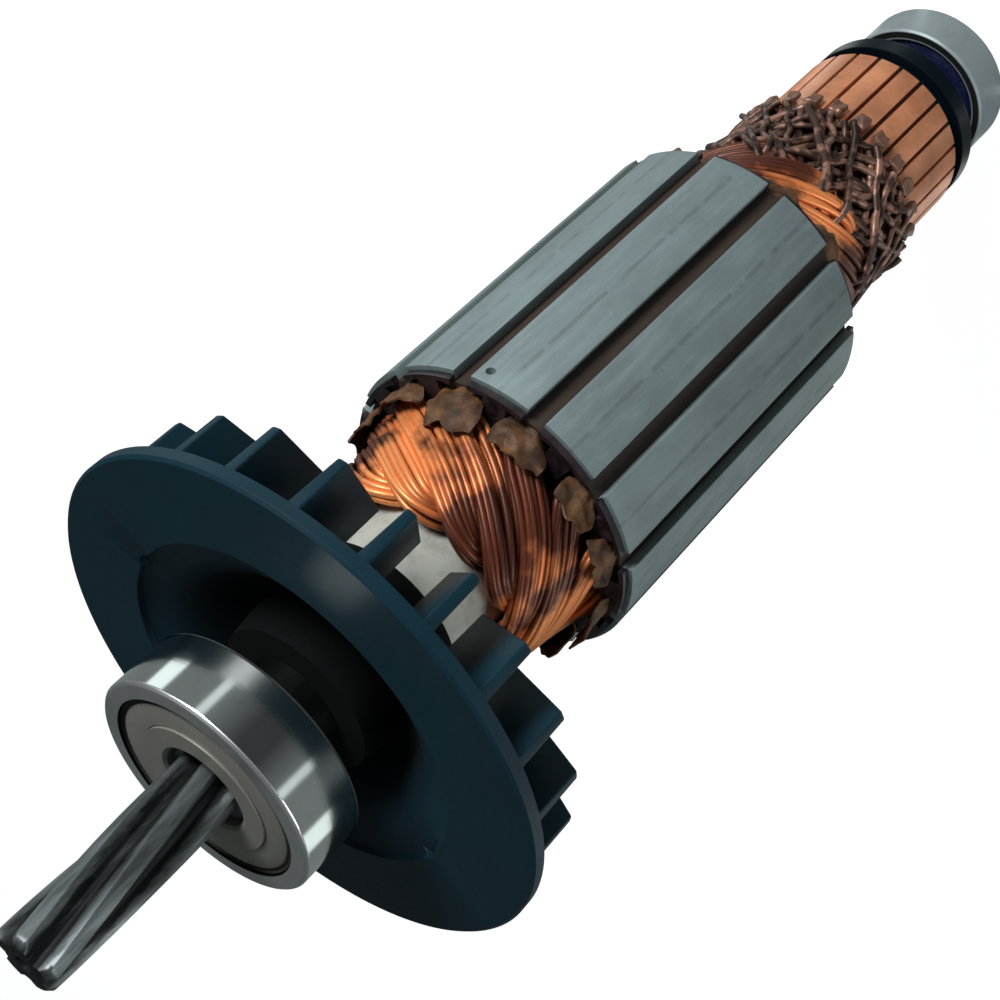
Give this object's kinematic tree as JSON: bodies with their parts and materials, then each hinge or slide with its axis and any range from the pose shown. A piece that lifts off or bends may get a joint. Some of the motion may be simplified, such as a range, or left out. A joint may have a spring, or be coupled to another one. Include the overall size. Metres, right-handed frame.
{
  "type": "motor armature",
  "caption": "Wound armature of a hand tool motor with a helical pinion, radial fan, slotted lamination core, coils, hook commutator and a ball bearing at each end.",
  "frame": {"origin": "centre of the rear bearing's rear face, on the shaft's axis", "axes": "+Z along the shaft from the commutator end towards the pinion"},
  "size_m": [0.0554, 0.0554, 0.1543],
  "materials": {
    "shaft_steel": "ground and hardened, oiled",
    "bearing_steel": "ground, bright",
    "rear_race_steel": "ground, dull",
    "ball_steel": "polished",
    "cage_plastic": "moulded",
    "shield_steel": "pressed sheet, satin",
    "seal_rubber": "moulded, matt",
    "fan_plastic": "moulded, satin",
    "sleeve_plastic": "moulded, pale",
    "lamination_steel": "ground, lengthwise marks",
    "end_fibre": "varnished fibre",
    "slot_paper": "varnished paper",
    "slot_wedge": "varnished fibre",
    "enamelled_copper": "enamelled copper wire, varnished",
    "varnished_leads": "copper wire under dark varnish",
    "hub_resin": "moulded resin and mica",
    "bar_copper": "turned copper, lightly run in",
    "collar_plastic": "moulded, satin"
  },
  "bodies": {
    "rotor": {"shaft": "shaft_steel", "front_bearing_inner_race": "bearing_steel", "rear_bearing_inner_race": "rear_race_steel", "cooling_fan": "fan_plastic", "front_sleeve": "sleeve_plastic", "rear_sleeve": "sleeve_plastic", "lamination_core": "lamination_steel", "front_end_insulator": "end_fibre", "rear_end_insulator": "end_fibre", "slot_papers": "slot_paper", "slot_wedges": "slot_wedge", "coil_1": "enamelled_copper", "coil_2": "enamelled_copper", "coil_3": "enamelled_copper", "coil_4": "enamelled_copper", "coil_5": "enamelled_copper", "coil_6": "enamelled_copper", "coil_7": "enamelled_copper", "coil_8": "enamelled_copper", "coil_9": "enamelled_copper", "coil_10": "enamelled_copper", "coil_11": "enamelled_copper", "coil_12": "enamelled_copper", "coil_leads": "varnished_leads", "commutator_hub": "hub_resin", "commutator_bar_1": "bar_copper", "commutator_bar_2": "bar_copper", "commutator_bar_3": "bar_copper", "commutator_bar_4": "bar_copper", "commutator_bar_5": "bar_copper", "commutator_bar_6": "bar_copper", "commutator_bar_7": "bar_copper", "commutator_bar_8": "bar_copper", "commutator_bar_9": "bar_copper", "commutator_bar_10": "bar_copper", "commutator_bar_11": "bar_copper", "commutator_bar_12": "bar_copper", "commutator_bar_13": "bar_copper", "commutator_bar_14": "bar_copper", "commutator_bar_15": "bar_copper", "commutator_bar_16": "bar_copper", "commutator_bar_17": "bar_copper", "commutator_bar_18": "bar_copper", "commutator_bar_19": "bar_copper", "commutator_bar_20": "bar_copper", "commutator_bar_21": "bar_copper", "commutator_bar_22": "bar_copper", "commutator_bar_23": "bar_copper", "commutator_bar_24": "bar_copper", "dust_collar": "collar_plastic"},
    "front_outer_ring": {"front_bearing_outer_race": "bearing_steel", "front_bearing_front_shield": "shield_steel", "front_bearing_back_shield": "shield_steel"},
    "front_ball_set": {"front_bearing_balls": "ball_steel", "front_bearing_cage": "cage_plastic"},
    "rear_outer_ring": {"rear_bearing_outer_race": "rear_race_steel", "rear_bearing_front_seal": "seal_rubber", "rear_bearing_back_seal": "seal_rubber"},
    "rear_ball_set": {"rear_bearing_balls": "ball_steel", "rear_bearing_cage": "cage_plastic"}
  },
  "joints": [
    {"name": "front_ring_spin", "type": "hinge", "parent": "rotor", "child": "front_outer_ring", "pos_m": [0, 0, 0.1298], "axis": [0, 0, 1], "continuous": true},
    {"name": "front_balls_roll", "type": "hinge", "parent": "rotor", "child": "front_ball_set", "pos_m": [0, 0, 0.1298], "axis": [0, 0, 1], "continuous": true},
    {"name": "rear_ring_spin", "type": "hinge", "parent": "rotor", "child": "rear_outer_ring", "pos_m": [0, 0, 0.003], "axis": [0, 0, 1], "continuous": true},
    {"name": "rear_balls_roll", "type": "hinge", "parent": "rotor", "child": "rear_ball_set", "pos_m": [0, 0, 0.003], "axis": [0, 0, 1], "continuous": true}
  ],
  "couplings": [
    {"joint": "front_balls_roll", "follows": "front_ring_spin", "ratio": 0.6212},
    {"joint": "rear_balls_roll", "follows": "rear_ring_spin", "ratio": 0.6346}
  ]
}
